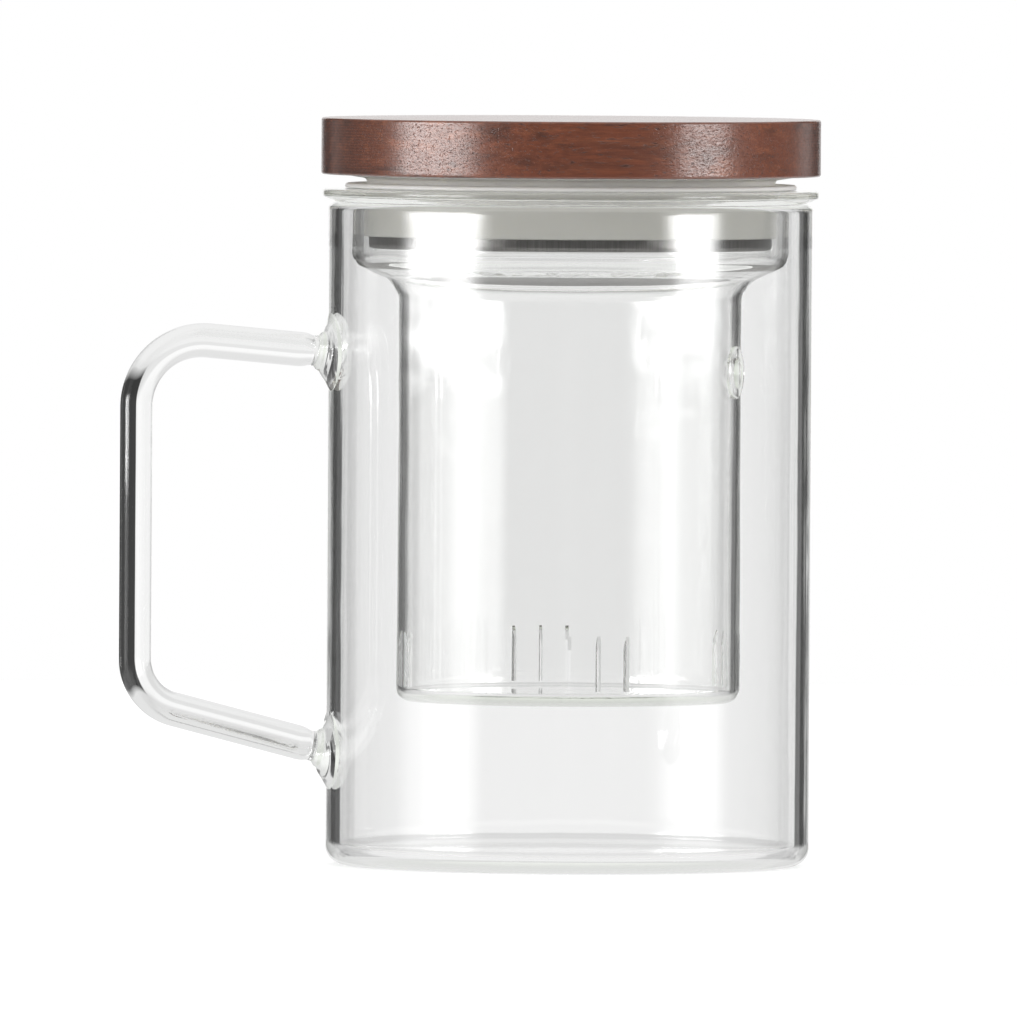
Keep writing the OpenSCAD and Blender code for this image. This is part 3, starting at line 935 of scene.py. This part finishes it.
def studio_world(studio):
    """A white studio. The camera sees plain white, and matt surfaces get one even level.

    What glass and gloss mirror is the ring of panels, which fades to open light overhead and on the ground.
    What is seen straight through glass is open light, and through a solid bar also a dark card on the right.
    """
    world = bpy.data.worlds.new("studio")
    world.use_nodes = True
    tree = world.node_tree
    tree.nodes.clear()
    out = tree.nodes.new("ShaderNodeOutputWorld")
    axes = axes_of(tree, add(tree, "ShaderNodeTexCoord").outputs["Generated"])
    around = calc(tree, "ARCTAN2", axes["Y"], axes["X"])
    height = calc(tree, "ARCSINE", axes["Z"])
    path = add(tree, "ShaderNodeLightPath").outputs

    behind = math.pi / 2 + studio.azimuth
    to_right = calc(tree, "SUBTRACT", behind + math.pi, around)
    turn = calc(tree, "DIVIDE", calc(tree, "FLOORED_MODULO", to_right, math.tau), math.tau)
    softboxes = []
    for middle, half, fade in SOFTBOX_LIGHTS:
        off_middle = off_direction(tree, turn, middle)
        softboxes.append(ranged(tree, off_middle, half / 360, (half + fade) / 360, 1.0, 0.0, smooth=True))
    glow = ranged_angle(tree, height, *SOFTBOX_FOOT, 1.0, studio.softbox)
    glow = blend(tree, ranged_angle(tree, height, *SOFTBOX_TOP), glow, OVER_SOFTBOX)
    glow = blend(tree, calc(tree, "ADD", *softboxes), 1.0, glow)
    panels = times(tree, ring_of_panels(tree, turn), glow)
    above = ranged_angle(tree, height, *PANELS_TOP, 1.0, 0.0, smooth=True)
    below = ranged_angle(tree, height, *PANELS_FOOT, LEFT_BELOW_FOOT, 1.0, smooth=True)
    ground = ranged_angle(tree, height, *GROUND)
    mirrored = blend(tree, times(tree, above, below, ground), studio.open_light, panels)

    off_card = off_direction(tree, turn, CARD_MIDDLE)
    wide = ranged(tree, off_card, CARD_HALF_WIDE / 360, (CARD_HALF_WIDE + CARD_SIDE_FADE) / 360, 1.0, 0.0)
    off_level = calc(tree, "ABSOLUTE", height)
    high = ranged_angle(tree, off_level, CARD_HALF_HIGH, CARD_HALF_HIGH + CARD_TOP_FADE, 1.0, 0.0)
    solid_bar = calc(tree, "LESS_THAN", path["Transmission Depth"], 2.5)
    backdrop = blend(tree, times(tree, wide, high, solid_bar), studio.open_light, studio.card_light)

    never_mirrored = calc(tree, "LESS_THAN", path["Glossy Depth"], 0.5)
    one_to_three_times = calc(tree, "COMPARE", path["Glossy Depth"], 2.0)
    one_to_three_times.node.inputs[2].default_value = 1.1
    seen = blend(tree, never_mirrored, studio.open_light, backdrop)
    seen = blend(tree, one_to_three_times, seen, mirrored)
    table = ranged_angle(tree, height, *TABLE, TABLE_LEVEL, 1.0)
    floor = ranged_angle(tree, height, *FLOOR, FLOOR_LEVEL, 1.0)
    ceiling = ranged_angle(tree, height, *CEILING, 1.0, CEILING_LEVEL)
    seen = times(tree, seen, table, floor, ceiling)

    gloss_or_glass = calc(tree, "MAXIMUM", path["Is Glossy Ray"], path["Is Transmission Ray"])
    strength = blend(tree, gloss_or_glass, studio.soft_light, seen)
    strength = blend(tree, path["Is Camera Ray"], strength, 1.0)
    sky = add(tree, "ShaderNodeBackground", {"Color": (*studio.background, 1), "Strength": strength})
    tree.links.new(sky.outputs[0], out.inputs["Surface"])
    return world


def soft_lamp(name, place, target, size, watts):
    """A large lamp that lights matt surfaces, and that gloss and glass don't mirror."""
    data = bpy.data.lights.new(name, "AREA")
    data.shape, data.size, data.energy = "DISK", size, watts
    lamp = bpy.data.objects.new(name, data)
    lamp.location = place
    lamp.rotation_euler = (target - place).to_track_quat("-Z", "Y").to_euler()
    lamp.visible_glossy = lamp.visible_transmission = lamp.visible_camera = False
    bpy.context.scene.collection.objects.link(lamp)


class INFUSERMUG_OT_studio(Operator):
    """Sets up the white floor, the studio's light and the camera"""

    bl_idname = "infusermug.studio"
    bl_label = "Studio"
    bl_options = {"REGISTER", "UNDO"}

    def execute(self, context):
        studio = sizes(context).studio
        scene = context.scene
        scene.view_settings.view_transform = "Standard"
        scene.world = studio_world(studio)

        floor_r = 0.9
        bm = bmesh.new()
        bmesh.ops.create_circle(bm, cap_ends=True, radius=floor_r, segments=96)
        floor = to_object("studio_floor", bm)
        floor.data.materials.append(floor_material(studio))
        floor.visible_glossy = floor.visible_transmission = False

        turn, tip = studio.azimuth, studio.pitch
        right = Vector((math.cos(turn), math.sin(turn), 0))
        back = Vector((math.sin(turn) * math.cos(tip), -math.cos(turn) * math.cos(tip), math.sin(tip)))
        target = right * studio.aim_right + UP * studio.aim_up
        data = bpy.data.cameras.new("camera")
        data.sensor_fit, data.sensor_width, data.lens = "HORIZONTAL", 36, studio.lens
        camera = bpy.data.objects.new("camera", data)
        camera.location = target + back * studio.distance
        level_view = (-back).to_track_quat("-Z", "Y").to_matrix()
        camera.rotation_euler = (level_view @ Matrix.Rotation(studio.roll, 3, "Z")).to_euler()
        scene.collection.objects.link(camera)
        scene.camera = camera

        middle = UP * MUG_TOP / 2
        lamp_size = 0.9
        soft_lamp("key_lamp", Vector((-1.2, -0.7, 0.35)), middle, lamp_size, 9)
        soft_lamp("fill_lamp", Vector((1.3, -0.4, 0.3)), middle, lamp_size, 9)
        soft_lamp("back_lamp", Vector((0.3, 1.0, 0.9)), middle, lamp_size, 4)
        return {"FINISHED"}


# ---- Add-on ----


OPERATORS = (
    INFUSERMUG_OT_studio,
    INFUSERMUG_OT_mug,
    INFUSERMUG_OT_infuser,
    INFUSERMUG_OT_lid_dish,
    INFUSERMUG_OT_lid_seal,
    INFUSERMUG_OT_lid_disc,
)


class INFUSERMUG_PT_pieces(Panel):
    bl_idname = "INFUSERMUG_PT_pieces"
    bl_label = "Infuser Mug"
    bl_space_type = "VIEW_3D"
    bl_region_type = "UI"
    bl_category = "Infuser Mug"

    def draw(self, context):
        for operator in OPERATORS:
            self.layout.operator(operator.bl_idname)
        made = sizes(context)
        for group in (made.mug, made.handle, made.infuser, made.lid, made.finish, made.studio):
            box = self.layout.box()
            for name in group.__annotations__:
                box.prop(group, name)


CLASSES = (
    MugSizes,
    HandleSizes,
    InfuserSizes,
    LidSizes,
    Finishes,
    StudioSizes,
    InfuserMug,
    *OPERATORS,
    INFUSERMUG_PT_pieces,
)


def register():
    for cls in CLASSES:
        bpy.utils.register_class(cls)
    bpy.types.Scene.infuser_mug = PointerProperty(type=InfuserMug)


def unregister():
    del bpy.types.Scene.infuser_mug
    for cls in reversed(CLASSES):
        bpy.utils.unregister_class(cls)


def main():
    register()
    for operator in OPERATORS:
        group, name = operator.bl_idname.split(".")
        getattr(getattr(bpy.ops, group), name)()


if __name__ == "__main__":
    main()
